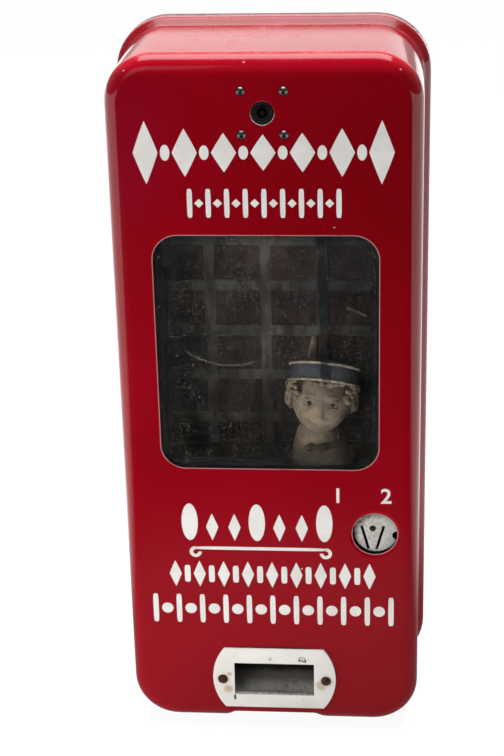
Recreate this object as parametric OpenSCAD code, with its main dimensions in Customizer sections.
// Wall or counter vending machine for sticks of gum.
// A drawn and enamelled steel case tips forward off a back plate, which carries
// two gum columns, a spring movement, a turning display figure and the coin chutes.
// Length unit: mm. Front of the case faces -Y, up is +Z.

/* [Case] */
// Width of the case over its side walls
case_w = 216; // [205:1:230]
// Height of the case over its top and bottom walls
case_h = 515.4; // [500:0.2:540]
// Depth of the case from its face to the rear edge of its rim
case_d = 111.5; // [110:0.5:125]
// Thickness of the enamelled steel
case_wall = 1.2; // [0.8:0.1:1.6]
// Radius of the four corners, seen from the front
corner_r = 33.5; // [25:0.5:45]
// Radius of the rounded front edge
edge_r = 11.7; // [6:0.1:14]
// How far the rear rim stands out beyond the walls
flare = 5.3; // [3:0.1:7]
// Depth over which the wall steps out to the rim
flare_run = 9; // [7:0.5:14]
// Width of the straight band at the rim
rim_len = 8.5; // [5:0.5:10]

/* [Window] */
// Width of the window opening
window_w = 156.6; // [120:0.2:160]
// Height of the window opening
window_h = 176.2; // [150:0.2:190]
// Height of the window's lower edge above the bottom of the case
window_z = 213.9; // [210:0.1:225]
// Corner radius of the window
window_r = 17.5; // [8:0.5:25]

/* [Lock] */
// Height of the lock's centre
lock_z = 476; // [465:0.5:478]
// Diameter of the lock's barrel
lock_d = 15.6; // [12:0.1:19]
// Side distance between the lock's rivets
lock_rivet_dx = 28.7; // [24:0.1:34]
// Height distance between the lock's rivets
lock_rivet_dz = 29.7; // [24:0.1:34]

/* [Coins] */
// Diameter of the coin
coin_d = 19.05; // [17:0.05:20.5]
// Thickness of the coin
coin_t = 1.55; // [1.3:0.05:1.8]
// Distance of the coin hole from the middle of the case
coin_x = 75.9; // [70:0.1:78]
// Height of the coin hole
coin_z = 161.7; // [158:0.1:166]
// Diameter of the round hole in front of the coin plate
coin_hole_d = 32.6; // [28:0.1:36]
// Lean of each coin slot from upright, in degrees
slot_tilt = 15.5; // [10:0.5:18]

/* [Mouth] */
// Width of the delivery opening
mouth_w = 60.4; // [50:0.2:64]
// Height of the delivery opening
mouth_h = 27.4; // [20:0.2:28]
// Height of the middle of the delivery opening
mouth_z = 37.5; // [37:0.1:38]
// Width of the mouth plate
plate_w = 93.4; // [88:0.2:100]
// Height of the mouth plate
plate_h = 51.5; // [50:0.1:53]
// Thickness of the mouth plate
plate_t = 1.6; // [1:0.1:2]

/* [Gum] */
// Width of a stick of gum
gum_w = 19; // [16:0.5:19]
// Length of a stick of gum
gum_l = 57; // [50:0.5:57]
// Thickness of a wrapped stick of gum
gum_t = 6; // [3:0.5:6]
// Height of the upper end of the gum columns
column_top = 468; // [380:1:475]

/* [Movement] */
// Module of the great wheel and its pinion
great_m = 1.4; // [1.4:0.1:1.4]
// Teeth of the great wheel
great_n = 48; // [48:1:48]
// Module of the second wheel and its pinion
second_m = 1.2; // [1.2:0.1:1.2]
// Teeth of the second wheel, and of the third wheel
second_n = 36; // [36:1:36]
// Module of the third wheel, of the crown wheel and of their pinions
third_m = 0.9; // [0.9:0.1:0.9]
// Teeth of every pinion
pinion_n = 12; // [12:1:12]
// Distance of the figure's spindle to the right of the middle
figure_x = 37; // [36:0.5:37.5]
// Depth of the figure's spindle behind the face of the case
figure_y = 36; // [36:0.5:37]

/* [Hidden] */
$fn = 64;
// Overshoot of every cut beyond its piece
over = 1;
// Facets of the large arcs
arc_fn = 96;
slip = 0.05;
back_t = 2.5;
rivet_h = 2.2;
front_proud = plate_t + rivet_h;
mid_y = (case_d + back_t - front_proud)/2;
joggle_a = 2*atan(flare/flare_run);
joggle_r = flare_run/(2*sin(joggle_a));
rim_y = case_d - rim_len;
flare_y = rim_y - flare_run;
side_x = case_w/2 - corner_r;
side_z = case_h/2 - corner_r;
pressure_a = 25;
backlash = 0.14;

// Tilt axis of the case, above the inner face of its rim
tilt_y = 107.5;
tilt_z = -1;
rod_r = 1.5;
hook_x = [-62, 62];
ear_x = [-76, -40, 40, 76];

// Arbors of the movement, each one step along the gear train
plate_front_y = 56;
plate_rear_y = 88;
plate_thick = 2;
arbor_r = 2.4;
pivot_r = 1.6;
bush_r = 3.4;
great_a = (great_n + pinion_n)*great_m/2;
second_a = (second_n + pinion_n)*second_m/2;
third_a = (second_n + pinion_n)*third_m/2;
second_dir = -12;
fan_dir = 60;
barrel_x = -32.5;
barrel_z = 138;
second_x = barrel_x + great_a*cos(second_dir);
second_z = barrel_z + great_a*sin(second_dir);
third_x = figure_x;
third_dir = acos((third_x - second_x)/second_a);
third_z = second_z + second_a*sin(third_dir);
fan_x = third_x + third_a*cos(fan_dir);
fan_z = third_z + third_a*sin(fan_dir);
crown_lift = 0.1;
crown_z = third_z + third_m*pinion_n/2 + crown_lift;
crown_r = third_m*second_n/2;
barrel_r = 30;

// Gum columns and ejectors, measured on the right-hand side
column_wall = 0.8;
column_x0 = 83.4;
column_x1 = column_x0 + gum_w + 1;
column_y0 = 44.8;
column_y1 = column_y0 + gum_l + 2.4;
shelf_z = 96.2;
column_z = shelf_z + gum_t + 1.3;
rack_m = 1.2;
sector_n = 30;
sector_r = rack_m*sector_n/2;
sector_x = 72;
rack_z = 102.7;
sector_z = rack_z + sector_r;
rack_y = 105.4;

// Display behind the window
stage_z = 203;
stage_front = 10;
screen_y = 66.5;
screen_x = 80.6;
screen_top = 402;

// Moves a shape from the case's own frame (face at y = 0) to the part's frame
module seat() translate([0, -mid_y, flare]) children();

// Plate in the XZ plane between two depths
module facing(y0, y1) translate([0, y1, 0]) rotate([90, 0, 0]) linear_extrude(y1 - y0) children();

// Plate in the YZ plane between two side distances
module siding(x0, x1) translate([x0, 0, 0]) rotate([90, 0, 90]) linear_extrude(x1 - x0) children();

// Round bar along Y
module bar(x, z, y0, y1, r) translate([x, y0, z]) rotate([-90, 0, 0]) cylinder(h = y1 - y0, r = r);

// Block between two corners
module block(a, b) translate(a) cube(b - a);

module both_sides() {
  children();
  mirror([1, 0, 0]) children();
}

module rounded_rect(w, h, r) {
  for (s = [0, 1]) mirror([s, 0]) for (u = [0, 1]) mirror([0, u])
    translate([w/2 - r, h/2 - r]) intersection() {
      circle(r);
      square(r);
    }
  square([w - 2*r, h], center = true);
  square([w, h - 2*r], center = true);
}

// Drawn case

// Region from a corner's axis out to a wall, in side distance and depth, with
// the step out to the rim as two arcs of short straight pieces.
// t is how far the surface lies inside the outer one.
joggle_steps = 5;
module wall_profile(t, tail) {
  hollow_x = corner_r + joggle_r;
  lip_x = corner_r + flare - joggle_r;
  translate([0, t]) square([corner_r - edge_r, edge_r - t]);
  intersection() {
    translate([corner_r - edge_r, edge_r]) circle(edge_r - t);
    translate([corner_r - edge_r, 0]) square(edge_r);
  }
  polygon([[0, edge_r], [corner_r - t, edge_r],
    for (k = [0:joggle_steps - 1]) let(a = joggle_a*k/joggle_steps)
      [hollow_x - (joggle_r + t)*cos(a), flare_y + (joggle_r + t)*sin(a)],
    for (k = [joggle_steps:-1:0]) let(a = joggle_a*k/joggle_steps)
      [lip_x + (joggle_r - t)*cos(a), rim_y - (joggle_r - t)*sin(a)],
    [corner_r + flare - t, case_d + tail], [0, case_d + tail]]);
}

// Solid form of the drawn case: a middle block, four walls and four corners
module drawn_form(t, tail) translate([0, 0, case_h/2]) {
  translate([-side_x, t, -side_z]) cube([2*side_x, case_d + tail - t, 2*side_z]);
  for (k = [0:3])
    translate([(k == 0 || k == 3 ? 1 : -1)*side_x, 0, (k < 2 ? -1 : 1)*side_z])
      rotate([-90, 0, 0]) rotate([0, 0, 90*k])
        rotate_extrude(angle = 90) wall_profile(t, tail);
  for (s = [0, 1]) mirror([s, 0, 0])
    translate([side_x, 0, -side_z]) linear_extrude(2*side_z) wall_profile(t, tail);
  for (s = [0, 1]) mirror([0, 0, s])
    translate([side_x, 0, side_z]) rotate([0, -90, 0]) linear_extrude(2*side_x) wall_profile(t, tail);
}

// Shallow hollow pressed up into the bottom, under the mouth
relief_w = 80;
relief_h = 4.4;
relief_run = 9;
relief_len = 46;
module bottom_relief(t)
  facing(-over, relief_len + t)
    polygon([[-relief_w/2 - t, -over], [-relief_w/2 - t + relief_run, relief_h + t],
             [relief_w/2 + t - relief_run, relief_h + t], [relief_w/2 + t, -over]]);

mouth_gap = 0.8;
mouth_hole_w = mouth_w + 2*mouth_gap;
mouth_hole_z0 = 18;
mouth_hole_z1 = 52.5;
mouth_rivet_x = 39.2;
mouth_rivet_z = 37.2;
stud_out = 7;
stud_x = window_w/2 + stud_out;
stud_z = window_h/2 + stud_out;
stud_r = 2;
window_mid = window_z + window_h/2;
shank_r = 1.6;
lock_gap = 0.3;
shell_cut = case_wall + over;

module rivet_places(dx, dz, x, z)
  for (sx = [-1, 1], sz = (dz == 0 ? [1] : [-1, 1])) translate([x + sx*dx/2, 0, z + sz*dz/2]) children();

module case_shell() color([0.62, 0.02, 0.05]) seat() difference() {
  drawn_form(0, 0);
  difference() {
    drawn_form(case_wall, over);
    bottom_relief(case_wall);
  }
  bottom_relief(0);
  facing(-over, shell_cut) translate([0, window_mid]) rounded_rect(window_w, window_h, window_r);
  bar(0, lock_z, -over, shell_cut, lock_d/2 + lock_gap);
  bar(coin_x, coin_z, -over, shell_cut, coin_hole_d/2);
  block([-mouth_hole_w/2, -over, mouth_hole_z0], [mouth_hole_w/2, shell_cut, mouth_hole_z1]);
  rivet_places(2*mouth_rivet_x, 0, 0, mouth_rivet_z) bar(0, 0, -over, shell_cut, shank_r);
  rivet_places(lock_rivet_dx, lock_rivet_dz, 0, lock_z) bar(0, 0, -over, shell_cut, shank_r);
  rivet_places(2*stud_x, 2*stud_z, 0, window_mid) bar(0, 0, case_wall/2, shell_cut, stud_r);
}

foot_r = 8;
foot_x = 72;
foot_y = 30;
foot_edge = 1;
module case_feet() color([0.08, 0.08, 0.08]) seat()
  for (x = [-foot_x, foot_x]) translate([x, foot_y, -flare]) {
    cylinder(h = foot_edge, r1 = foot_r - foot_edge, r2 = foot_r);
    translate([0, 0, foot_edge]) cylinder(h = flare - foot_edge, r = foot_r);
  }

// Lugs on the rim's floor that turn on the hinge rod
hook_w = 14;
hook_r = rod_r + 1.5;
module case_hooks() color([0.45, 0.45, 0.46]) seat()
  for (x = hook_x) difference() {
    union() {
      siding(x - hook_w/2, x + hook_w/2) translate([tilt_y, tilt_z]) circle(hook_r);
      block([x - hook_w/2, tilt_y - hook_r, case_wall - flare], [x + hook_w/2, tilt_y + hook_r, tilt_z]);
    }
    siding(x - hook_w/2 - over, x + hook_w/2 + over) translate([tilt_y, tilt_z]) circle(rod_r + slip);
  }

// Window

glass_t = 2.4;
glass_lap = 4;
glass_corner_r = 8;
glass_y1 = case_wall + glass_t;
module window_glass() color([0.75, 0.85, 0.82, 0.35]) seat()
  facing(case_wall, glass_y1)
    translate([0, window_mid]) rounded_rect(window_w + 2*glass_lap, window_h + 2*glass_lap, glass_corner_r);

frame_t = 1;
frame_w = 7;
frame_lap = 5;
frame_corner_r = 3;
frame_inner_r = window_r - 5;
tab_r = 6;
module window_frame() color([0.35, 0.35, 0.36]) seat() difference() {
  facing(glass_y1, glass_y1 + frame_t) translate([0, window_mid]) {
    rounded_rect(window_w + 2*frame_lap, window_h + 2*frame_lap, frame_corner_r);
    for (sx = [-1, 1], sz = [-1, 1]) translate([sx*stud_x, sz*stud_z]) circle(tab_r);
  }
  facing(0, glass_y1 + frame_t + over) translate([0, window_mid])
    rounded_rect(window_w - 2*(frame_w - frame_lap), window_h - 2*(frame_w - frame_lap), frame_inner_r);
  rivet_places(2*stud_x, 2*stud_z, 0, window_mid) bar(0, 0, 0, glass_y1 + frame_t + over, stud_r);
}

module hex_nut(af, h, r) difference() {
  cylinder(h = h, r = af/2/cos(30), $fn = 6);
  translate([0, 0, -over]) cylinder(h = h + 2*over, r = r);
}

stud_nut_af = 7;
stud_nut_h = 3;
module window_frame_nuts() color([0.6, 0.6, 0.6]) seat()
  rivet_places(2*stud_x, 2*stud_z, 0, window_mid) {
    bar(0, 0, case_wall/2, glass_y1 + frame_t + stud_nut_h + over, stud_r);
    translate([0, glass_y1 + frame_t, 0]) rotate([-90, 0, 0]) hex_nut(stud_nut_af, stud_nut_h, stud_r);
  }

// Domed rivet head with its shank, standing on a face at depth y
module dome_rivet(y, head_r, shank_end) {
  dome_r = (head_r*head_r + rivet_h*rivet_h)/(2*rivet_h);
  translate([0, y, 0]) rotate([90, 0, 0]) intersection() {
    translate([0, 0, rivet_h - dome_r]) sphere(dome_r);
    cylinder(h = rivet_h, r = head_r);
  }
  bar(0, 0, y, shank_end, shank_r);
}

// Mouth

lip_r = 4;
roll_t = 1.2;
lip_y = lip_r - plate_t;
lip_z = mouth_z - mouth_h/2 - lip_r;
end_drop = 9.15;
end_r = (end_drop*end_drop + plate_h*plate_h/4)/(2*end_drop);
plate_lift = 0.95;
plate_z = mouth_z + plate_lift;
lip_gap = 0.05;
module mouth_plate() color([0.86, 0.85, 0.8]) seat() {
  difference() {
    facing(-plate_t, 0) both_sides() translate([0, plate_z]) intersection() {
      translate([0, -plate_h/2]) square([plate_w/2, plate_h]);
      translate([plate_w/2 - end_r, 0]) circle(end_r, $fn = arc_fn);
    }
    block([-mouth_w/2, -plate_t - over, lip_z], [mouth_w/2, over, mouth_z + mouth_h/2]);
    rivet_places(2*mouth_rivet_x, 0, 0, mouth_rivet_z) bar(0, 0, -plate_t - over, over, shank_r);
  }
  siding(-mouth_w/2, mouth_w/2) intersection() {
    difference() {
      translate([lip_y, lip_z]) circle(lip_r);
      translate([lip_y, lip_z]) circle(lip_r - roll_t);
    }
    translate([lip_y - lip_r, lip_z]) square(lip_r);
  }
}

mouth_head_r = 3.5;
scoop_t = 1;
// Length of a rivet's shank beyond the last sheet
tail_len = 1;
module mouth_rivets() color([0.32, 0.2, 0.13]) seat()
  rivet_places(2*mouth_rivet_x, 0, 0, mouth_rivet_z)
    dome_rivet(-plate_t, mouth_head_r, case_wall + scoop_t + tail_len);

scoop_r = 27;
scoop_y = 6;
scoop_z = 50;
scoop_x = mouth_w/2 + mouth_gap + scoop_t;
scoop_rim_z = 49;
scoop_ear_w = 14;
scoop_ear_h = 9;
module scoop_sector(r) intersection() {
  translate([scoop_y, scoop_z]) circle(r, $fn = arc_fn);
  translate([lip_y + lip_gap, 0]) square([2*scoop_r, scoop_rim_z]);
}
module delivery_scoop() color([0.55, 0.54, 0.52]) seat() {
  siding(-scoop_x + scoop_t, scoop_x - scoop_t) difference() {
    scoop_sector(scoop_r + scoop_t);
    translate([scoop_y, scoop_z]) circle(scoop_r, $fn = arc_fn);
  }
  both_sides() {
    siding(scoop_x - scoop_t, scoop_x) scoop_sector(scoop_r + scoop_t);
    difference() {
      block([scoop_x, case_wall, mouth_rivet_z - scoop_ear_h],
            [scoop_x + scoop_ear_w, case_wall + scoop_t, mouth_rivet_z + scoop_ear_h]);
      bar(mouth_rivet_x, mouth_rivet_z, 0, case_wall + scoop_t + over, shank_r);
    }
    block([scoop_x - scoop_t, case_wall, mouth_rivet_z - scoop_ear_h],
          [scoop_x, lip_y + lip_gap, mouth_rivet_z + scoop_ear_h]);
  }
}

// Lock

bracket_t = 2.2;
bracket_w = 42;
bracket_corner_r = 6;
bracket_y1 = case_wall + bracket_t;
module lock_bracket() color([0.5, 0.5, 0.5]) seat() difference() {
  facing(case_wall, bracket_y1) translate([0, lock_z]) rounded_rect(bracket_w, bracket_w, bracket_corner_r);
  bar(0, lock_z, 0, bracket_y1 + over, lock_d/2);
  rivet_places(lock_rivet_dx, lock_rivet_dz, 0, lock_z) bar(0, 0, 0, bracket_y1 + over, shank_r);
}

lock_head_r = 3.2;
module lock_rivets() color([0.25, 0.24, 0.24]) seat()
  rivet_places(lock_rivet_dx, lock_rivet_dz, 0, lock_z) dome_rivet(0, lock_head_r, bracket_y1 + tail_len);

plug_r = 5;
barrel_y = 0.4;
barrel_len = 26;
module lock_barrel() color([0.1, 0.1, 0.1]) seat() difference() {
  bar(0, lock_z, barrel_y, barrel_len, lock_d/2);
  bar(0, lock_z, -over, barrel_len + over, plug_r + slip);
}

lock_nut_af = 21;
lock_nut_h = 4;
module lock_nut() color([0.55, 0.52, 0.4]) seat()
  translate([0, bracket_y1, lock_z]) rotate([-90, 0, 0]) hex_nut(lock_nut_af, lock_nut_h, lock_d/2);

// Plug with a round keyway about a centre pin; its spread end holds the cam
cam_t = 2.4;
cam_y = barrel_len + 0.5;
cam_hub_r = 3;
spread = 1.6;
plug_y = 0.8;
keyway_y = 6;
keyway_r = 3.7;
keyway_pin_r = 1.7;
bit_w = 2;
bit_z = [1.5, 4.6];
module lock_plug() color([0.16, 0.16, 0.16]) seat() difference() {
  union() {
    bar(0, lock_z, plug_y, cam_y, plug_r);
    bar(0, lock_z, cam_y, cam_y + cam_t, cam_hub_r);
    bar(0, lock_z, cam_y + cam_t, cam_y + cam_t + spread, cam_hub_r + spread);
  }
  difference() {
    bar(0, lock_z, 0, keyway_y, keyway_r);
    bar(0, lock_z, -over, keyway_y + over, keyway_pin_r);
  }
  block([-bit_w/2, 0, lock_z + bit_z[0]], [bit_w/2, keyway_y, lock_z + bit_z[1]]);
}

cam_reach = 24;
cam_r = 6;
cam_eye_r = 6.5;
module lock_cam() color([0.6, 0.58, 0.5]) seat() difference() {
  facing(cam_y, cam_y + cam_t) translate([0, lock_z]) {
    circle(cam_eye_r);
    translate([cam_r - cam_reach, -cam_r]) square([cam_reach - cam_r, 2*cam_r]);
    translate([cam_r - cam_reach, 0]) circle(cam_r);
  }
  bar(0, lock_z, cam_y - over, cam_y + cam_t + over, cam_hub_r);
}

// Arm that reaches forward from the back plate and turns down in front of the cam
keeper_t = 2;
keeper_lip_t = 1.6;
keeper_y = cam_y - keeper_lip_t - 1;
keeper_w = 24;
keeper_z = lock_z + 28;
keeper_lip_z = lock_z + 13;
keeper_flange = 26;
gusset_drop = 24;
gusset_run = 40;
module lock_keeper() color([0.4, 0.4, 0.41]) seat() {
  block([-keeper_w/2, keeper_y, keeper_z], [keeper_w/2, case_d, keeper_z + keeper_t]);
  block([-keeper_w/2, keeper_y, keeper_lip_z], [keeper_w/2, keeper_y + keeper_lip_t, keeper_z]);
  block([-keeper_w/2, case_d - keeper_t, keeper_z - keeper_flange], [keeper_w/2, case_d, keeper_z]);
  both_sides() siding(keeper_w/2 - keeper_t, keeper_w/2)
    polygon([[case_d - keeper_t, keeper_z], [case_d - keeper_t, keeper_z - gusset_drop],
             [case_d - gusset_run, keeper_z]]);
}

// Back plate and hinge

back_low_z = 4;
lip_in = 1;
lip_t = 1.5;
lip_y0 = 105;
lip_low_z = 60;
wall_hole_x = 75;
wall_hole_z = [56, 446];
wall_hole_r = 3.2;
ear_t = 2;
ear_r = 2.6;
ear_top = 16;
ear_neck = 1;
ear_foot_z = back_low_z + 2.5;
module rim_outline(inset)
  translate([0, case_h/2])
    rounded_rect(case_w + 2*flare - 2*inset, case_h + 2*flare - 2*inset, corner_r + flare - inset);

module back_plate() color([0.3, 0.3, 0.31]) seat() {
  difference() {
    union() {
      facing(case_d, case_d + back_t) rim_outline(0);
      facing(lip_y0, case_d) difference() {
        rim_outline(case_wall + lip_in);
        rim_outline(case_wall + lip_in + lip_t);
        translate([-case_w, -case_h]) square([2*case_w, case_h + lip_low_z]);
      }
    }
    block([-case_w, case_d - over, -case_h], [case_w, case_d + back_t + over, back_low_z]);
    for (x = [-wall_hole_x, wall_hole_x], z = wall_hole_z)
      bar(x, z, case_d - over, case_d + back_t + over, wall_hole_r);
  }
  for (x = ear_x) difference() {
    siding(x - ear_t/2, x + ear_t/2) {
      translate([tilt_y, tilt_z]) circle(ear_r);
      polygon([[tilt_y - ear_r, tilt_z], [tilt_y - ear_r, ear_top], [case_d, ear_top],
               [case_d, ear_foot_z], [tilt_y + ear_neck, ear_foot_z], [tilt_y + ear_neck, tilt_z]]);
    }
    siding(x - ear_t, x + ear_t) translate([tilt_y, tilt_z]) circle(rod_r);
  }
}

rod_half = 80;
module hinge_rod() color([0.6, 0.6, 0.6]) seat()
  siding(-rod_half, rod_half) translate([tilt_y, tilt_z]) circle(rod_r);

// Toothed wheels

dedendum = 1.2;
rack_addendum = 0.8;
function roll(a) = tan(a)*180/PI - a;
function pressure_at(r, base) = r <= base ? 0 : acos(base/r);
function flank_a(r, n, pitch, base) =
  90/n - backlash*90/(PI*pitch) + roll(pressure_a) - roll(pressure_at(max(r, base), base));

// Outline of an involute wheel with a tooth centred on +x
module toothed(m, n, addendum = 0.9, steps = 3) {
  pitch = m*n/2;
  base = pitch*cos(pressure_a);
  root = pitch - dedendum*m;
  tip = pitch + addendum*m;
  low = max(root, base);
  radii = [root, for (i = [0:steps]) low + (tip - low)*i/steps];
  polygon([for (k = [0:n - 1]) each [
    for (r = radii) let(a = k*360/n - flank_a(r, n, pitch, base)) r*[cos(a), sin(a)],
    for (i = [len(radii) - 1:-1:0]) let(r = radii[i], a = k*360/n + flank_a(r, n, pitch, base))
      r*[cos(a), sin(a)]]]);
}

// Turn that meshes wheel 2 with wheel 1, which lies the other way along direction d
function mesh_turn(d, turn1, n1, n2) = d + 180 - 360/n2*(0.5 - (d - turn1)*n1/360);

// Straight-sided tooth of a rack, pointing to +y from its pitch line
module rack_tooth(m) {
  half = PI*m/4 - backlash/2;
  slant = tan(pressure_a)*m;
  polygon([[-half - dedendum*slant, -dedendum*m], [half + dedendum*slant, -dedendum*m],
           [half - rack_addendum*slant, rack_addendum*m], [-half + rack_addendum*slant, rack_addendum*m]]);
}

// Openings between the spokes of a wheel
module crossings(hub, rim, count, spoke) difference() {
  circle(rim);
  circle(hub);
  for (k = [0:count - 1]) rotate(k*360/count) translate([0, -spoke/2]) square([rim + over, spoke]);
}

great_turn = 0;
second_pinion_turn = mesh_turn(second_dir, great_turn, great_n, pinion_n);
second_turn = 0;
third_pinion_turn = mesh_turn(third_dir, second_turn, second_n, pinion_n);
third_turn = 0;
fan_turn = mesh_turn(fan_dir, third_turn, second_n, pinion_n);

// Movement frame

upper_posts = [[-72, 174], [72, 174]];
lower_pillars = [[-66, 108.5], [66, 108.5]];
inner_posts = [[-34, 112], [34, 112]];
pillar_places = [each upper_posts, each lower_pillars];
wind_r = 3;
wind_bush_r = 5;
pillar_r = 4;
post_r = 5;
screw_r = 2;
nut_h = 3;

plate_side_x = 80;
plate_top_z = 182;
plate_side_z = 106;
plate_foot_x = 58;
plate_foot_z = 97;
module plate_form()
  polygon([[-plate_side_x, plate_top_z], [plate_side_x, plate_top_z], [plate_side_x, plate_side_z],
           [plate_foot_x, plate_foot_z], [-plate_foot_x, plate_foot_z], [-plate_side_x, plate_side_z]]);

// Windows sawn through the plates so that the wheels show: middle, size and corner radius
sawn_windows = [[[-2, 162], [58, 22], 6], [[61, 148], [14, 34], 6], [[-70, 138], [10, 40], 4]];
module plate_windows() for (w = sawn_windows) translate(w[0]) rounded_rect(w[1].x, w[1].y, w[2]);

module arbor_places() {
  translate([second_x, 0, second_z]) children();
  translate([third_x, 0, third_z]) children();
  translate([fan_x, 0, fan_z]) children();
}

module movement_plate(y0, barrel_bush_r, screw_places) difference() {
  facing(y0, y0 + plate_thick) difference() {
    plate_form();
    plate_windows();
  }
  arbor_places() bar(0, 0, y0 - over, y0 + plate_thick + over, bush_r);
  bar(barrel_x, barrel_z, y0 - over, y0 + plate_thick + over, barrel_bush_r);
  for (p = screw_places) bar(p.x, p.y, y0 - over, y0 + plate_thick + over, screw_r);
}

click_x = -58;
click_z = 156;
click_gap = 0.4;
trip_x = 30;
trip_z = 104;
trip_gap = 0.2;
ratchet_y = 52.2;
stop_y = 50;
module movement_plate_rear() color([0.72, 0.6, 0.32]) seat()
  movement_plate(plate_rear_y, bush_r, [each pillar_places, each inner_posts]);

module movement_plate_front() color([0.76, 0.63, 0.34]) seat()
  movement_plate(plate_front_y, wind_bush_r, [each pillar_places, [click_x, click_z], [trip_x, trip_z]]);

// Pillars between the plates, posts that carry the movement off the back plate, and pivot studs
head_t = 1.5;
head_step = 1.5;
studs = [[click_x, click_z, ratchet_y - click_gap], [trip_x, trip_z, stop_y - trip_gap]];
module movement_pillars() color([0.7, 0.7, 0.7]) seat() {
  for (p = pillar_places) {
    bar(p.x, p.y, plate_front_y + plate_thick, plate_rear_y, pillar_r);
    bar(p.x, p.y, plate_front_y - nut_h - over, plate_front_y + plate_thick, screw_r);
    bar(p.x, p.y, plate_rear_y, plate_rear_y + plate_thick, screw_r);
  }
  for (p = [each inner_posts, each upper_posts]) bar(p.x, p.y, plate_rear_y + plate_thick, case_d, post_r);
  for (p = inner_posts) {
    bar(p.x, p.y, plate_rear_y, plate_rear_y + plate_thick, screw_r);
    bar(p.x, p.y, plate_rear_y - head_t, plate_rear_y, screw_r + head_step);
  }
  for (p = studs) {
    bar(p.x, p.y, p.z, plate_front_y + plate_thick, screw_r);
    bar(p.x, p.y, p.z - head_t, p.z, screw_r + head_step);
  }
  for (s = [-1, 1]) {
    bar(s*sector_x, sector_z, rack_y, case_d, arbor_r);
    bar(s*sector_x, sector_z, rack_y - head_t, rack_y, arbor_r + head_step);
  }
}

pillar_nut_af = 8;
module pillar_nuts() color([0.66, 0.6, 0.42]) seat()
  for (p = pillar_places)
    translate([p.x, plate_front_y - nut_h, p.y]) rotate([-90, 0, 0]) hex_nut(pillar_nut_af, nut_h, screw_r);

module bush(y0, outer_r, inner_r) difference() {
  bar(0, 0, y0, y0 + plate_thick, outer_r);
  bar(0, 0, y0 - over, y0 + plate_thick + over, inner_r + slip);
}

module arbor_bushes() color([0.8, 0.68, 0.3]) seat() {
  arbor_places() {
    bush(plate_front_y, bush_r, pivot_r);
    bush(plate_rear_y, bush_r, pivot_r);
  }
  translate([barrel_x, 0, barrel_z]) {
    bush(plate_front_y, wind_bush_r, wind_r);
    bush(plate_rear_y, bush_r, pivot_r);
  }
}

// Spring barrel and winding

module on_arbor(x, z, y0, y1, turn) facing(y0, y1) translate([x, z]) rotate(turn) children();

great_y = 79;
great_t = 5;
drum_y = 66;
drum_wall = 1.2;
cap_t = 1.5;
drum_hub_t = 2;
drum_hub_r = 8;
cap_hole_at = 18;
cap_hole_r = 4;
module mainspring_barrel() color([0.78, 0.66, 0.36]) seat() difference() {
  union() {
    on_arbor(barrel_x, barrel_z, great_y, great_y + great_t, great_turn) toothed(great_m, great_n);
    bar(barrel_x, barrel_z, drum_y, great_y, barrel_r);
  }
  bar(barrel_x, barrel_z, drum_y - over, great_y, barrel_r - drum_wall);
  bar(barrel_x, barrel_z, drum_y, great_y + great_t + over, wind_r + slip);
}

module barrel_cap() color([0.74, 0.62, 0.34]) seat() difference() {
  union() {
    bar(barrel_x, barrel_z, drum_y, drum_y + cap_t, barrel_r - drum_wall);
    bar(barrel_x, barrel_z, drum_y - drum_hub_t, drum_y, drum_hub_r);
  }
  bar(barrel_x, barrel_z, drum_y - drum_hub_t - over, drum_y + cap_t + over, wind_r + slip);
  for (k = [0:4]) translate([barrel_x, 0, barrel_z]) rotate([0, 72*k, 0])
    bar(cap_hole_at, 0, drum_y - over, drum_y + cap_t + over, cap_hole_r);
}

// Flat spring strip, wound from the arbor out to the drum
spring_turns = 6;
spring_steps = 20;
spring_t = 0.9;
spring_r0 = 3.9;
spring_r1 = barrel_r - drum_wall - 1.5;
spring_room = 0.5;
function spring_at(k, side) =
  let(r = spring_r0 + (spring_r1 - spring_r0)*k/(spring_turns*spring_steps) + side*spring_t/2)
  r*[cos(360*k/spring_steps), sin(360*k/spring_steps)];
module mainspring() color([0.25, 0.27, 0.32]) seat()
  on_arbor(barrel_x, barrel_z, drum_y + cap_t + spring_room, great_y - spring_room, 0)
    polygon([for (k = [0:spring_turns*spring_steps]) spring_at(k, -1),
             for (k = [spring_turns*spring_steps:-1:0]) spring_at(k, 1)]);

key_y = 32;
key_square = 5;
square_y0 = key_y + 1;
square_y1 = 51;
wind_step = 2;
module key_bar(y0, y1) translate([barrel_x - key_square/2, y0, barrel_z - key_square/2])
  cube([key_square, y1 - y0, key_square]);
module winding_arbor() color([0.65, 0.65, 0.66]) seat() {
  key_bar(square_y0, square_y1);
  bar(barrel_x, barrel_z, square_y1, plate_rear_y - wind_step, wind_r);
  bar(barrel_x, barrel_z, plate_rear_y - wind_step, plate_rear_y + plate_thick, pivot_r);
}

ratchet_n = 16;
ratchet_r = 14;
ratchet_t = 2.4;
ratchet_y1 = ratchet_y + ratchet_t;
ratchet_turn = 9;
ratchet_depth = 2;
undercut_a = 2;
ratchet_hole_at = 8;
ratchet_hole_r = 1.8;
module ratchet_wheel() color([0.55, 0.56, 0.58]) seat() difference() {
  on_arbor(barrel_x, barrel_z, ratchet_y, ratchet_y1, ratchet_turn)
    polygon([for (k = [0:ratchet_n - 1]) let(a = k*360/ratchet_n, b = a - undercut_a) each [
      ratchet_r*[cos(a), sin(a)], (ratchet_r - ratchet_depth)*[cos(b), sin(b)]]]);
  bar(barrel_x, barrel_z, ratchet_y - over, ratchet_y1 + over, wind_r);
  for (k = [0:5]) translate([barrel_x, 0, barrel_z]) rotate([0, 60*k, 0])
    bar(ratchet_hole_at, 0, ratchet_y - over, ratchet_y1 + over, ratchet_hole_r);
}

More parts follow.
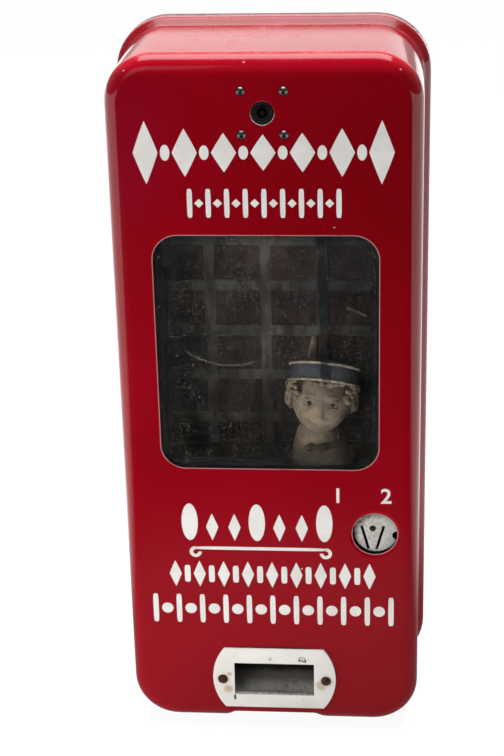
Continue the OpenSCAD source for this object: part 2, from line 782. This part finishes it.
// Key with two wings, each pierced, on a hollow stem
key_stem_y = 47;
key_stem_r = 5.5;
key_boss_r = 6.5;
key_wing_at = 12;
key_wing_r = 7.5;
key_wing_t = 4.5;
key_wing_h = 8;
key_hole_at = 12.5;
key_hole_r = 3.6;
key_wing_y = key_y - 4;
module winding_key() color([0.72, 0.6, 0.34]) seat() difference() {
  union() {
    bar(barrel_x, barrel_z, key_y, key_stem_y, key_stem_r);
    facing(key_wing_y, key_wing_y + key_wing_t) translate([barrel_x, barrel_z]) {
      circle(key_boss_r);
      for (s = [-1, 1]) translate([key_wing_at*s, 0]) circle(key_wing_r);
      square([2*key_wing_at, key_wing_h], center = true);
    }
  }
  key_bar(square_y0, key_stem_y + over);
  for (s = [-1, 1])
    bar(barrel_x + key_hole_at*s, barrel_z, key_wing_y - over, key_wing_y + key_wing_t + over, key_hole_r);
}

// Click, shown lifted off the ratchet; it drops to engage
click_rest = -6;
click_len = 28.7;
click_nose = 1.7;
click_hub_r = 4.4;
// Outline from the tail round the tip and back, its hub left to a cylinder
click_form = [[-1.5, 3.6], [-9, 7], [-10, 4], [-3, -1], [-0.8, -4.1], [18, 2.4], [24, 2.2],
  [click_len - click_nose, 0.6], [click_len, 0], [click_len, 3], [click_len - click_nose, 4.2],
  [18, 5], [-0.8, 4.1]];
module click() color([0.5, 0.5, 0.53]) seat() difference() {
  union() {
    on_arbor(click_x, click_z, ratchet_y, ratchet_y1, click_rest) polygon(click_form);
    bar(click_x, click_z, ratchet_y, ratchet_y1, click_hub_r);
  }
  bar(click_x, click_z, ratchet_y - over, ratchet_y1 + over, screw_r + slip);
}

// Wheels of the train

end_play = 0.3;
pivot_proud = 0.5;
pinion_proud = 1;
module train_arbor(x, z, y0) {
  bar(x, z, y0, plate_rear_y + plate_thick, pivot_r);
  bar(x, z, plate_front_y + plate_thick + end_play, plate_rear_y - end_play, arbor_r);
}

module second_arbor() color([0.66, 0.66, 0.67]) seat() {
  train_arbor(second_x, second_z, stop_y - pivot_proud);
  on_arbor(second_x, second_z, great_y - pinion_proud, great_y + great_t + pinion_proud, second_pinion_turn)
    toothed(great_m, pinion_n);
}

// Train wheel with five spokes; hub and spokes are shares of its pitch diameter
hub_share = 0.13;
spoke_share = 0.07;
module train_wheel(m, n, t) linear_extrude(t) difference() {
  toothed(m, n);
  crossings(m*n*hub_share, m*n/2 - (dedendum + 1)*m - 1, 5, m*n*spoke_share);
  circle(arbor_r);
}

collet_t = 3;
module collet(x, z, y, r) difference() {
  bar(x, z, y, y + collet_t, r);
  bar(x, z, y - over, y + collet_t + over, arbor_r);
}

second_y = 60;
second_t = 3;
second_collet_r = 4.6;
module second_wheel() color([0.8, 0.68, 0.36]) seat() {
  translate([second_x, second_y + second_t, second_z]) rotate([90, 0, 0]) rotate(second_turn)
    train_wheel(second_m, second_n, second_t);
  collet(second_x, second_z, second_y + second_t, second_collet_r);
}

// Disc whose notch the trip lever's nose drops into after each sale
stop_r = 12;
stop_t = 3;
notch_dir = -27.8;
notch_r = 9.6;
notch_w = 5.2;
stop_hole_at = 6.5;
stop_hole_r = 2;
module across_stop(turn) on_arbor(second_x, second_z, stop_y - over, stop_y + stop_t + over, turn) children();
module stop_disc() color([0.62, 0.62, 0.64]) seat() difference() {
  bar(second_x, second_z, stop_y, stop_y + stop_t, stop_r);
  bar(second_x, second_z, stop_y - over, stop_y + stop_t + over, pivot_r);
  across_stop(notch_dir) translate([notch_r, -notch_w/2]) square([stop_r - notch_r + over, notch_w]);
  for (k = [0:2]) across_stop(notch_dir + 90 + 60*k) translate([stop_hole_at, 0]) circle(stop_hole_r);
}

crown_pinion_y = 50.4;
crown_pinion_t = 3.6;
third_pinion_t = 5.5;
third_pinion_y = second_y - pinion_proud;
module third_arbor() color([0.66, 0.66, 0.67]) seat() {
  train_arbor(third_x, third_z, crown_pinion_y - pivot_proud);
  on_arbor(third_x, third_z, third_pinion_y, third_pinion_y + third_pinion_t, third_pinion_turn)
    toothed(second_m, pinion_n);
  on_arbor(third_x, third_z, crown_pinion_y, crown_pinion_y + crown_pinion_t, 90 + 180/pinion_n)
    toothed(third_m, pinion_n);
}

third_y = 72;
third_t = 2.5;
third_collet_r = 4.2;
module third_wheel() color([0.8, 0.68, 0.36]) seat() {
  translate([third_x, third_y + third_t, third_z]) rotate([90, 0, 0]) rotate(third_turn)
    train_wheel(third_m, second_n, third_t);
  collet(third_x, third_z, third_y + third_t, third_collet_r);
}

fan_r = 14;
fan_y = 65;
fan_t = 0.8;
fan_boss_t = 5.6;
fan_boss_r = 3.6;
fan_inset = 0.2;
fan_pinion_t = 5;
module governor() color([0.7, 0.7, 0.72]) seat() {
  train_arbor(fan_x, fan_z, plate_front_y);
  on_arbor(fan_x, fan_z, third_y - pinion_proud, third_y - pinion_proud + fan_pinion_t, fan_turn)
    toothed(third_m, pinion_n);
  bar(fan_x, fan_z, fan_y, fan_y + fan_boss_t, fan_boss_r);
  block([fan_x - fan_r, fan_y + fan_inset, fan_z - fan_t/2],
        [fan_x + fan_r, fan_y + fan_boss_t - fan_inset, fan_z + fan_t/2]);
}

// Display figure and its drive

module spindle_at(z) translate([figure_x, figure_y, z]) children();

foot_bearing_z = 120.6;
foot_bearing_t = 2.4;
foot_bearing_r = 7;
foot_flange_z = 112;
foot_flange_t = 2;
module spindle_bracket() color([0.6, 0.6, 0.6]) seat() difference() {
  union() {
    block([figure_x - foot_bearing_r, figure_y, foot_bearing_z],
          [figure_x + foot_bearing_r, plate_front_y, foot_bearing_z + foot_bearing_t]);
    spindle_at(foot_bearing_z) cylinder(h = foot_bearing_t, r = foot_bearing_r);
    block([figure_x - foot_bearing_r, plate_front_y - foot_flange_t, foot_flange_z],
          [figure_x + foot_bearing_r, plate_front_y, foot_bearing_z]);
  }
  spindle_at(foot_bearing_z - over) cylinder(h = foot_bearing_t + 2*over, r = arbor_r + slip);
}

spindle_z = 119;
spindle_len = 106;
spindle_collar_t = 2.5;
spindle_collar_r = 4.4;
module figure_spindle() color([0.68, 0.68, 0.68]) seat() {
  spindle_at(spindle_z) cylinder(h = spindle_len, r = arbor_r);
  spindle_at(foot_bearing_z + foot_bearing_t + slip) cylinder(h = spindle_collar_t, r = spindle_collar_r);
}

crown_t = 2;
crown_face = 2.4;
crown_hub_t = 6;
crown_hub_r = 5;
crown_hole_at = 9.4;
crown_hole_r = 3;
crown_disc_z = crown_z + dedendum*third_m;
module through_crown(r) translate([0, 0, crown_z - third_m - over])
  cylinder(h = crown_hub_t + 3*third_m + 2*over, r = r);
module crown_wheel() color([0.8, 0.68, 0.36]) seat() difference() {
  union() {
    spindle_at(crown_disc_z) cylinder(h = crown_t, r = crown_r + crown_face/2);
    spindle_at(crown_disc_z) cylinder(h = crown_hub_t, r = crown_hub_r);
    for (k = [0:second_n - 1]) spindle_at(crown_z) rotate(90 + k*360/second_n)
      translate([crown_r - crown_face/2, 0, 0]) mirror([0, 0, 1]) rotate([90, 0, 90])
        linear_extrude(crown_face) rack_tooth(third_m);
  }
  spindle_at(0) through_crown(arbor_r);
  for (k = [0:4]) spindle_at(0) rotate(72*k) translate([crown_hole_at, 0, 0]) through_crown(crown_hole_r);
}

head_z = 255;
head_r = 25;
jaw_r = 19;
jaw_z = head_z - 8;
jaw_out = 3;
nose_r = 3.4;
nose_tip_z = head_z - 7.5;
ear_ball_r = 4.4;
ear_ball_x = 23.3;
eye_r = 3.6;
eye_x = 8.5;
eye_in = 4;
mouth_line = [10, 6, 1.4];
mouth_line_z = head_z - 14;
bust_z = 206;
bust_form = [[0, 0], [24, 0], [24.5, 4], [20, 10], [17.5, 14], [17, 27], [0, 27]];
neck_bore = 19;
module head_ball(x, y, z, r) spindle_at(0) translate([x, y, z]) sphere(r);

// Bust of a doll with a round head, let on to the spindle
module figure() color([0.82, 0.72, 0.58]) seat() difference() {
  union() {
    spindle_at(bust_z) rotate_extrude() polygon(bust_form);
    head_ball(0, 0, head_z, head_r);
    head_ball(0, -jaw_out, jaw_z, jaw_r);
    head_ball(0, -head_r, nose_tip_z, nose_r);
    for (s = [-1, 1]) {
      head_ball(s*ear_ball_x, 0, head_z - ear_ball_r, ear_ball_r);
      head_ball(s*eye_x, eye_in - head_r, head_z, eye_r);
    }
  }
  spindle_at(bust_z - over) cylinder(h = neck_bore + over, r = arbor_r);
  spindle_at(mouth_line_z) translate([-mouth_line.x/2, -jaw_out - jaw_r - mouth_line.y/2, 0]) cube(mouth_line);
}

// Pillbox cap worn tipped back: an upright drum cut by two sloping planes
cap_r = 25.5;
cap_z = head_z + 10;
cap_t_band = 12.5;
cap_tip = 28;
cap_dome_r = 48;
cap_dome_h = 6;
cap_dome_in = 1.5;
piping_out = 1;
piping_t = 1.8;
knob_x = -6;
knob_form = [[0, 0], [5, 0], [4.7, 3], [3.1, 9], [2.6, 16], [0, 17.5]];
module tipped(z) spindle_at(cap_z) rotate([-cap_tip, 0, 0]) translate([0, 0, z]) children();
module cap_slice(z0, z1, r) intersection() {
  spindle_at(bust_z) cylinder(h = 4*head_r, r = r);
  tipped(z0) translate([-2*head_r, -2*head_r, 0]) cube([4*head_r, 4*head_r, z1 - z0]);
}
module figure_cap() color([0.2, 0.23, 0.3]) seat() difference() {
  union() {
    cap_slice(0, cap_t_band, cap_r);
    intersection() {
      cap_slice(cap_t_band, cap_t_band + cap_dome_h, cap_r - cap_dome_in);
      tipped(cap_t_band + cap_dome_h - cap_dome_r) sphere(cap_dome_r);
    }
    for (z = [0, cap_t_band - piping_t]) cap_slice(z, z + piping_t, cap_r + piping_out);
    tipped(cap_t_band + cap_dome_h - over) translate([knob_x, 0, 0]) rotate_extrude() polygon(knob_form);
  }
  spindle_at(head_z) sphere(head_r);
}

// Stage and screen behind the window

stage_t = 1.2;
screen_t = 1.6;
skirt_h = 8;
skirt_t = 1;
leg_x = [-50, 50];
leg_w = 16;
leg_z = 166;
module stage_floor() color([0.16, 0.14, 0.12]) seat() difference() {
  union() {
    block([-screen_x, stage_front, stage_z], [screen_x, screen_y + screen_t, stage_z + stage_t]);
    block([-screen_x, stage_front, stage_z - skirt_h], [screen_x, stage_front + skirt_t, stage_z]);
    for (x = leg_x)
      block([x - leg_w/2, plate_front_y - stage_t, leg_z], [x + leg_w/2, plate_front_y, stage_z]);
  }
  spindle_at(stage_z - over) cylinder(h = stage_t + 2*over, r = arbor_r + slip);
}

tile_x = 41.5;
tile_z = 34.45;
tile_x0 = -6.5;
tile_z0 = 265.3;
tile_bar = 8;
tile_depth = 0.7;
tile_edge = 2;
wing_y = 22;
wing_t = 1;
stay_x = [40, 54];
stay_z = 394;
stay_flange = 16;
module display_screen() color([0.2, 0.17, 0.13]) seat() {
  difference() {
    block([-screen_x, screen_y, stage_z + stage_t], [screen_x, screen_y + screen_t, screen_top]);
    intersection() {
      block([tile_edge - screen_x, screen_y - over, stage_z + stage_t + tile_edge],
            [screen_x - tile_edge, screen_y + tile_depth, screen_top - tile_edge]);
      union() for (i = [-3:2], k = [-3:4])
        translate([tile_x0 + tile_x*(i + 0.5), screen_y, tile_z0 + tile_z*(k + 0.5)])
          cube([tile_x - tile_bar, 2*(tile_depth + over), tile_z - tile_bar], center = true);
    }
  }
  for (s = [0, 1]) mirror([s, 0, 0]) {
    block([screen_x - wing_t, wing_y, stage_z + stage_t], [screen_x, screen_y, screen_top]);
    block([stay_x[0], screen_y + screen_t, stay_z], [stay_x[1], case_d, stay_z + stage_t]);
    block([stay_x[0], case_d - stage_t, stay_z + stage_t], [stay_x[1], case_d, stay_z + stay_flange]);
  }
}

// Gum columns, right-hand side; the left-hand one is mirrored

// Channel with a slot up its front for the follower's finger and two ledges at its foot
ledge = 1;
slot_half_w = 5;
slot_foot = 12;
column_mid = (column_x0 + column_x1)/2;
module column() difference() {
  block([column_x0 - column_wall, column_y0 - column_wall, column_z],
        [column_x1 + column_wall, column_y1 + column_wall, column_top]);
  difference() {
    block([column_x0, column_y0, column_z - over], [column_x1, column_y1, column_top + over]);
    for (y = [column_y0, column_y1 - ledge])
      block([column_x0, y, column_z], [column_x1, y + ledge, column_z + ledge]);
  }
  block([column_mid - slot_half_w, column_y0 - column_wall - over, column_z + slot_foot],
        [column_mid + slot_half_w, column_y0 + over/2, column_top + over]);
}
module column_right() color([0.55, 0.56, 0.57]) seat() column();
module column_left() color([0.55, 0.56, 0.57]) seat() mirror([1, 0, 0]) column();

// Weight that rides on the gum, with two casting hollows and a finger for lifting it
follow_z = column_z + ledge + slip;
follow_h = 12;
follow_side = 0.5;
follow_end = 0.3;
finger_half = 3.5;
finger_y = [column_y0 - 7, column_y0 + 6];
finger_z = [follow_z + follow_h - 1, follow_z + follow_h + 1.5];
hollow_y = [22, 38];
hollow_r = 6;
hollow_floor = 4;
module follower() difference() {
  union() {
    block([column_x0 + follow_side, column_y0 + follow_end, follow_z],
          [column_x1 - follow_side, column_y1 - follow_end, follow_z + follow_h]);
    block([column_mid - finger_half, finger_y[0], finger_z[0]],
          [column_mid + finger_half, finger_y[1], finger_z[1]]);
  }
  for (y = hollow_y) translate([column_mid, column_y0 + y, follow_z + hollow_floor])
    cylinder(h = follow_h, r = hollow_r);
}
module follower_right() color([0.36, 0.36, 0.37]) seat() follower();
module follower_left() color([0.36, 0.36, 0.37]) seat() mirror([1, 0, 0]) follower();

// Folded sheet brackets: shelves under the columns, ties at two heights, shelf for the cash box
cash_shelf_z = 21;
cash_x = [50, 98];
cash_y = [14, 42];
cash_top = 72;
cash_room = 2;
fold_t = 1;
flange_t = 1.2;
shelf_x = [60, column_x1 + 2];
shelf_flange = 18;
rack_rest = 0.2;
tie_x = [87, 100];
tie_z = [200, 420];
tie_up = 12;
tie_down = 10;
tie_y = column_y1 + column_wall;
cash_lip = 8;
cash_flange = 22;
module cash_strip(y0, y1, z0, z1) block([cash_x[0] - cash_room, y0, z0], [cash_x[1] + cash_room, y1, z1]);
module shelf_brackets() color([0.5, 0.51, 0.52]) seat() {
  both_sides() {
    block([column_x0 - column_wall, column_y0 - column_wall, shelf_z - fold_t], [shelf_x[1], case_d, shelf_z]);
    block([shelf_x[0], rack_y - rack_rest, shelf_z - fold_t], [column_x0, case_d, shelf_z]);
    block([shelf_x[0], case_d - flange_t, shelf_z - shelf_flange], [shelf_x[1], case_d, shelf_z - fold_t]);
    for (z = tie_z) {
      block([tie_x[0], tie_y, z], [tie_x[1], case_d, z + fold_t]);
      block([tie_x[0], case_d - fold_t, z + fold_t], [tie_x[1], case_d, z + tie_up]);
      block([tie_x[0], tie_y, z - tie_down], [tie_x[1], tie_y + fold_t, z]);
    }
  }
  cash_strip(cash_y[0] - cash_room, case_d, cash_shelf_z - fold_t, cash_shelf_z);
  cash_strip(cash_y[0] - cash_room, cash_y[0] - cash_room + fold_t, cash_shelf_z, cash_shelf_z + cash_lip);
  cash_strip(case_d - flange_t, case_d, cash_shelf_z, cash_shelf_z + cash_flange);
}

cash_floor = 1.2;
grip_x = [66, 82];
grip_reach = 7;
grip_drop = 5;
module cash_box() color([0.42, 0.43, 0.44]) seat() {
  difference() {
    block([cash_x[0], cash_y[0], cash_shelf_z + slip], [cash_x[1], cash_y[1], cash_top]);
    block([cash_x[0] + fold_t, cash_y[0] + fold_t, cash_shelf_z + cash_floor],
          [cash_x[1] - fold_t, cash_y[1] - fold_t, cash_top + over]);
  }
  block([grip_x[0], cash_y[0] - grip_reach, cash_top - fold_t], [grip_x[1], cash_y[0], cash_top]);
  block([grip_x[0], cash_y[0] - grip_reach - fold_t, cash_top - grip_drop],
        [grip_x[1], cash_y[0] - grip_reach, cash_top]);
}

// Sloping floors that lead each stick to the middle and on to the mouth
trough_x = column_x0 - column_wall;
trough_in = 30;
trough_in_z = 80;
trough_y0 = 46;
trough_y1 = 104;
sheet = 1;
channel_y = 34.4;
channel_z = 51.2;
channel_rear_z = 78;
channel_side = 11;
front_wall = 6;
front_wall_out = 5;
rear_wall = 7;
rear_drop = 4;
shelf_gap = 0.2;
trough_flange = 18;
module delivery_trough() color([0.58, 0.58, 0.56]) seat() {
  both_sides() {
    facing(trough_y0, trough_y1)
      polygon([[trough_in, trough_in_z - sheet], [trough_in, trough_in_z], [trough_x, shelf_z - sheet],
               [trough_x, shelf_z - 2*sheet]]);
    facing(trough_y0 - sheet, trough_y0)
      polygon([[trough_in, trough_in_z - sheet], [trough_in, trough_in_z + front_wall],
               [trough_x, shelf_z + front_wall_out], [trough_x, shelf_z - 2*sheet]]);
    facing(trough_y1, trough_y1 + sheet)
      polygon([[0, channel_rear_z - rear_drop], [0, trough_in_z + rear_wall],
               [trough_in, trough_in_z + rear_wall], [trough_x, shelf_z - shelf_gap],
               [trough_x, shelf_z - 2*sheet], [trough_in, channel_rear_z - rear_drop]]);
    siding(trough_in, trough_in + sheet)
      polygon([[channel_y, channel_z - sheet], [channel_y, channel_z + channel_side],
               [trough_y0, trough_in_z], [trough_y1, trough_in_z],
               [case_d, channel_rear_z + rear_drop], [case_d, channel_rear_z - sheet]]);
  }
  siding(-trough_in, trough_in) {
    polygon([[channel_y, channel_z - sheet], [channel_y, channel_z], [case_d, channel_rear_z],
             [case_d, channel_rear_z - sheet]]);
    translate([case_d - sheet, channel_rear_z - trough_flange]) square([sheet, trough_flange]);
  }
}

// Ejector, right-hand side: a rack bar behind the column with a pusher beside the lowest stick
pusher_x = column_x1 + 0.3;
pusher_t = 1.5;
pusher_y = column_y0 + 1.7;
pusher_z = [shelf_z + 0.8, column_z - 1.1];
rack_x0 = 66;
rack_t = 4;
module ejector() {
  block([rack_x0, rack_y, shelf_z + slip], [pusher_x + pusher_t, rack_y + rack_t, rack_z - dedendum*rack_m]);
  block([pusher_x, pusher_y, pusher_z[0]], [pusher_x + pusher_t, rack_y, pusher_z[1]]);
  facing(rack_y, rack_y + rack_t) for (k = [-1:7])
    translate([sector_x + k*PI*rack_m, rack_z]) rack_tooth(rack_m);
}
module ejector_right() color([0.6, 0.6, 0.62]) seat() ejector();
module ejector_left() color([0.6, 0.6, 0.62]) seat() mirror([1, 0, 0]) ejector();

// Toothed sector on a stud, with an arm for the link that the stop disc drives
sector_y = [rack_y + 0.3, rack_y + 3.5];
sector_cut = [-104, -56, -8];
sector_hub_r = 6.5;
arm_dir = 134;
arm_len = 39;
arm_w = 6;
arm_eye_r = 4.2;
link_hole_r = 1.8;
module sector() difference() {
  facing(sector_y[0], sector_y[1]) translate([sector_x, sector_z]) {
    intersection() {
      toothed(rack_m, sector_n);
      polygon([[0, 0], for (a = sector_cut) 2*sector_r*[cos(a), sin(a)]]);
    }
    circle(sector_hub_r);
    rotate(arm_dir) translate([0, -arm_w/2]) square([arm_len, arm_w]);
    rotate(arm_dir) translate([arm_len, 0]) circle(arm_eye_r);
  }
  bar(sector_x, sector_z, sector_y[0] - over, sector_y[1] + over, arbor_r + slip);
  translate([sector_x + arm_len*cos(arm_dir), 0, sector_z + arm_len*sin(arm_dir)])
    bar(0, 0, sector_y[0] - over, sector_y[1] + over, link_hole_r);
}
module sector_right() color([0.76, 0.64, 0.36]) seat() sector();
module sector_left() color([0.76, 0.64, 0.36]) seat() mirror([1, 0, 0]) sector();

// Coin entry

coin_plate_y = 4;
coin_plate_t = 1.2;
chute_y0 = coin_plate_y + coin_plate_t;
coin_plate_r = coin_hole_d/2 - 0.3;
coin_plate_x = coin_x + 0.7;
coin_plate_z = coin_z + 0.4;
slot_mid_x = coin_x - 1.65;
slot_mid_z = coin_z - 4.3;
slot_half = 5.55;
slot_w = coin_t + 0.4;
slot_len = coin_d + 0.7;
entry_rivet_x = coin_x - 1.7;
entry_rivet_z = coin_z + 3.2;
entry_rivet_r = 1.2;
entry_head_r = 2.4;
entry_head_t = 0.8;
entry_rivet_y1 = 9;
notch_hole_r = 2.5;
notch_at = [coin_hole_d/2 - 0.6, -2.3];
module through_disc() facing(coin_plate_y - over, chute_y0 + over) children();
module coin_plate() color([0.66, 0.65, 0.62]) seat() difference() {
  bar(coin_plate_x, coin_plate_z, coin_plate_y, chute_y0, coin_plate_r);
  for (s = [-1, 1]) through_disc() translate([slot_mid_x + s*slot_half, slot_mid_z])
    rotate(-s*slot_tilt) square([slot_w, slot_len], center = true);
  bar(entry_rivet_x, entry_rivet_z, 0, chute_y0 + over, entry_rivet_r);
  through_disc() translate([coin_x, coin_z] + notch_at) {
    circle(notch_hole_r);
    translate([0, -notch_hole_r]) square([3*notch_hole_r, 2*notch_hole_r]);
  }
}

module coin_plate_rivet() color([0.3, 0.22, 0.14]) seat() {
  bar(entry_rivet_x, entry_rivet_z, coin_plate_y - entry_head_t, coin_plate_y, entry_head_r);
  bar(entry_rivet_x, entry_rivet_z, coin_plate_y, entry_rivet_y1, entry_rivet_r);
}

chute_y1 = chute_y0 + coin_d + 5.2;
chute_bend_z = slot_mid_z - slot_len/2 - 0.6;
chute_end_z = 109;
chute_wall = 0.8;
chute_half = coin_t/2 + 0.4;
chute_over_wall = 1.4;
chute_over_bore = 0.2;
function chute_x(s) = slot_mid_x + s*(slot_half - (slot_mid_z - chute_bend_z)*tan(slot_tilt));

// Outline of a chute seen from the front, s = -1 left, 1 right; w is half its width
module chute_form(s, w, over_top, end_z) {
  top_z = slot_mid_z + slot_len/2 + over_top;
  top_x = slot_mid_x + s*(slot_half + (top_z - slot_mid_z)*tan(slot_tilt));
  polygon([[top_x - w, top_z], [top_x + w, top_z], [chute_x(s) + w, chute_bend_z],
           [chute_x(s) + w, end_z], [chute_x(s) - w, end_z], [chute_x(s) - w, chute_bend_z]]);
}

// Passage of the coin: open at its foot, and at the front above the bend
module chute_bore(s) chute_form(s, chute_half, chute_over_bore, chute_end_z - over);
module coin_chute(s) difference() {
  facing(chute_y0, chute_y1) chute_form(s, chute_half + chute_wall, chute_over_wall, chute_end_z);
  facing(chute_y0 + chute_wall, chute_y1 - chute_wall) chute_bore(s);
  facing(chute_y0 - over, chute_y0 + chute_wall + over) intersection() {
    chute_bore(s);
    translate([0, chute_bend_z]) square([case_w, 2*slot_len]);
  }
}
module coin_chute_left() color([0.6, 0.6, 0.58]) seat() coin_chute(-1);
module coin_chute_right() color([0.6, 0.6, 0.58]) seat() coin_chute(1);

boss_r = 3;
hold_x = [63, 87];
hold_arm_x = 80;
hold_t = 1.4;
hold_z = 118;
hold_top_z = coin_z + 9;
hold_flange_z = 130;
module coin_chute_bracket() color([0.45, 0.45, 0.46]) seat() difference() {
  union() {
    block([hold_x[0], chute_y1, hold_z], [hold_x[1], chute_y1 + hold_t, hold_top_z]);
    bar(entry_rivet_x, entry_rivet_z, chute_y0, chute_y1, boss_r);
    block([hold_x[0], chute_y1, hold_z], [hold_arm_x, plate_front_y, hold_z + hold_t]);
    block([hold_x[0], plate_front_y - hold_t, hold_z + hold_t], [hold_arm_x, plate_front_y, hold_flange_z]);
  }
  bar(entry_rivet_x, entry_rivet_z, chute_y0 - over, entry_rivet_y1, entry_rivet_r);
}

// Lever that a coin tips to free the stop disc
trip_y = [stop_y + 0.3, stop_y + 2.7];
trip_hub_r = 4.6;
nose_x = 20.4;
nose_z = 124.9;
nose_w = 2.6;
paddle_x = [60, 63, 83];
paddle_y = [8, 26, 30];
paddle_z = 97;
paddle_t = 1.2;
paddle_neck = 3.5;
upper_arm = [[-4.2, 1.5], [nose_x - trip_x, nose_z - trip_z],
  [nose_x - trip_x + nose_w, nose_z - trip_z + 0.6], [3, 3.4]];
lower_arm = [[0, -4.4], [2, 4], [paddle_x[1] - trip_x, paddle_z - trip_z + 4.6],
  [paddle_x[1] - trip_x, paddle_z - trip_z]];
module trip_lever() color([0.66, 0.66, 0.68]) seat() difference() {
  union() {
    facing(trip_y[0], trip_y[1]) translate([trip_x, trip_z]) {
      circle(trip_hub_r);
      polygon(upper_arm);
      polygon(lower_arm);
    }
    block([paddle_x[0], paddle_y[1], paddle_z], [paddle_x[1], trip_y[0], paddle_z + paddle_neck]);
    block([paddle_x[0], paddle_y[0], paddle_z], [paddle_x[2], paddle_y[2], paddle_z + paddle_t]);
  }
  bar(trip_x, trip_z, stop_y - over, stop_y + stop_t + over, screw_r + slip);
}

back_plate();
hinge_rod();
movement_plate_rear();
movement_plate_front();
movement_pillars();
pillar_nuts();
arbor_bushes();
stage_floor();
display_screen();
spindle_bracket();
column_left();
column_right();
shelf_brackets();
delivery_trough();
coin_plate();
coin_plate_rivet();
coin_chute_left();
coin_chute_right();
coin_chute_bracket();
lock_keeper();
case_shell();
case_feet();
case_hooks();
window_glass();
window_frame();
window_frame_nuts();
mouth_plate();
mouth_rivets();
delivery_scoop();
lock_bracket();
lock_rivets();
lock_barrel();
lock_nut();
lock_plug();
lock_cam();
mainspring_barrel();
mainspring();
barrel_cap();
winding_arbor();
ratchet_wheel();
winding_key();
click();
second_arbor();
second_wheel();
stop_disc();
third_arbor();
third_wheel();
governor();
figure_spindle();
crown_wheel();
figure();
figure_cap();
ejector_left();
ejector_right();
sector_left();
sector_right();
trip_lever();
follower_left();
follower_right();
cash_box();
